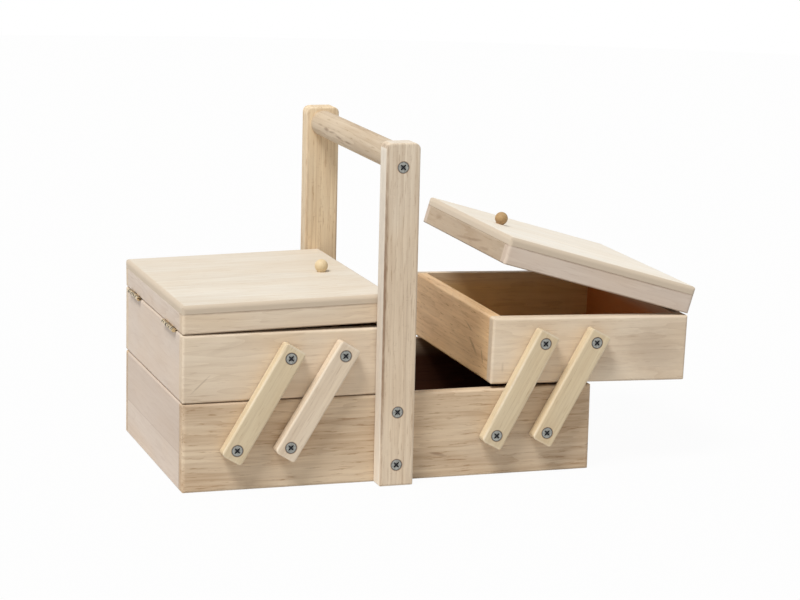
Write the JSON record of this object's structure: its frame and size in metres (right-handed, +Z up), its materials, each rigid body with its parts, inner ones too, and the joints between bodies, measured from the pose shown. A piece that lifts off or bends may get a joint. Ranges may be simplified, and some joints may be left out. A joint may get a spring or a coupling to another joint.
{
  "type": "cantilever sewing box",
  "caption": "Wooden cantilever sewing box with trays that swing out on wooden links, a hinged lid with a knob on each tray, and a carrying handle.",
  "frame": {"origin": "centre of the base's underside, on the surface that the box stands on", "axes": "+X along the box to the right tray, +Y from the front to the back, +Z up"},
  "size_m": [0.3815, 0.208, 0.2413],
  "materials": {
    "pine": "bare sanded softwood",
    "pale_pine": "bare sanded softwood, paler",
    "beech": "bare turned hardwood",
    "brass": "bright brass plate",
    "steel": "zinc-plated steel"
  },
  "bodies": {
    "base": {"base_front_wall": "pine", "base_back_wall": "pine", "base_left_end": "pine", "base_right_end": "pine", "upright_front": "pine", "upright_back": "pine", "base_floor": "pale_pine", "handle_bar": "pale_pine", "base_link_screws": "steel", "upright_screws": "steel", "handle_bar_screws": "steel"},
    "left_inner_links": {"left_inner_link_front": "pine", "left_inner_link_back": "pine"},
    "left_outer_links": {"left_outer_link_front": "pine", "left_outer_link_back": "pine"},
    "left_tray": {"left_tray_front_wall": "pine", "left_tray_back_wall": "pine", "left_tray_outer_end": "pine", "left_tray_inner_end": "pine", "left_tray_floor": "pale_pine", "left_tray_link_screws": "steel", "left_tray_hinge_leaves": "brass", "left_hinge_pins": "brass", "left_tray_hinge_nails": "brass"},
    "left_lid": {"left_lid_panel": "pale_pine", "left_lid_front_rail": "pine", "left_lid_back_rail": "pine", "left_lid_outer_rail": "pine", "left_lid_inner_rail": "pine", "left_lid_knob": "beech", "left_lid_knob_screw": "steel", "left_lid_hinge_leaves": "brass", "left_lid_hinge_nails": "brass"},
    "right_inner_links": {"right_inner_link_front": "pine", "right_inner_link_back": "pine"},
    "right_outer_links": {"right_outer_link_front": "pine", "right_outer_link_back": "pine"},
    "right_tray": {"right_tray_front_wall": "pine", "right_tray_back_wall": "pine", "right_tray_outer_end": "pine", "right_tray_inner_end": "pine", "right_tray_floor": "pale_pine", "right_tray_link_screws": "steel", "right_tray_hinge_leaves": "brass", "right_hinge_pins": "brass", "right_tray_hinge_nails": "brass"},
    "right_lid": {"right_lid_panel": "pale_pine", "right_lid_front_rail": "pine", "right_lid_back_rail": "pine", "right_lid_outer_rail": "pine", "right_lid_inner_rail": "pine", "right_lid_knob": "beech", "right_lid_knob_screw": "steel", "right_lid_hinge_leaves": "brass", "right_lid_hinge_nails": "brass"}
  },
  "joints": [
    {"name": "left_tray_swing", "type": "hinge", "parent": "base", "child": "left_inner_links", "pos_m": [-0.0753, 0, 0.0308], "axis": [0, -1, 0], "range_deg": [0, 59.55]},
    {"name": "left_tray_level", "type": "hinge", "parent": "left_inner_links", "child": "left_tray", "pos_m": [-0.0371, 0, 0.0936], "axis": [0, -1, 0], "range_deg": [-58.05, 0]},
    {"name": "left_outer_link_swing", "type": "hinge", "parent": "base", "child": "left_outer_links", "pos_m": [-0.1133, 0, 0.0308], "axis": [0, -1, 0], "range_deg": [0, 59.94]},
    {"name": "left_lid_hinge", "type": "hinge", "parent": "left_tray", "child": "left_lid", "pos_m": [-0.1516, 0, 0.1108], "axis": [0, -1, 0], "range_deg": [-1.2, 173.8]},
    {"name": "right_tray_swing", "type": "hinge", "parent": "base", "child": "right_inner_links", "pos_m": [0.0753, 0, 0.0308], "axis": [0, 1, 0], "range_deg": [-59.55, 0]},
    {"name": "right_tray_level", "type": "hinge", "parent": "right_inner_links", "child": "right_tray", "pos_m": [0.11008, 0, 0.09556], "axis": [0, 1, 0], "range_deg": [0, 58.05]},
    {"name": "right_outer_link_swing", "type": "hinge", "parent": "base", "child": "right_outer_links", "pos_m": [0.1133, 0, 0.0308], "axis": [0, 1, 0], "range_deg": [-59.94, 0]},
    {"name": "right_lid_hinge", "type": "hinge", "parent": "right_tray", "child": "right_lid", "pos_m": [0.22499, 0, 0.10975], "axis": [0, 1, 0], "range_deg": [-14.7, 160.3]}
  ],
  "couplings": [
    {"joint": "left_tray_level", "follows": "left_tray_swing", "ratio": -0.97481},
    {"joint": "left_outer_link_swing", "follows": "left_tray_swing", "ratio": 1.0065},
    {"joint": "right_tray_level", "follows": "right_tray_swing", "ratio": -0.97481},
    {"joint": "right_outer_link_swing", "follows": "right_tray_swing", "ratio": 1.0065}
  ]
}
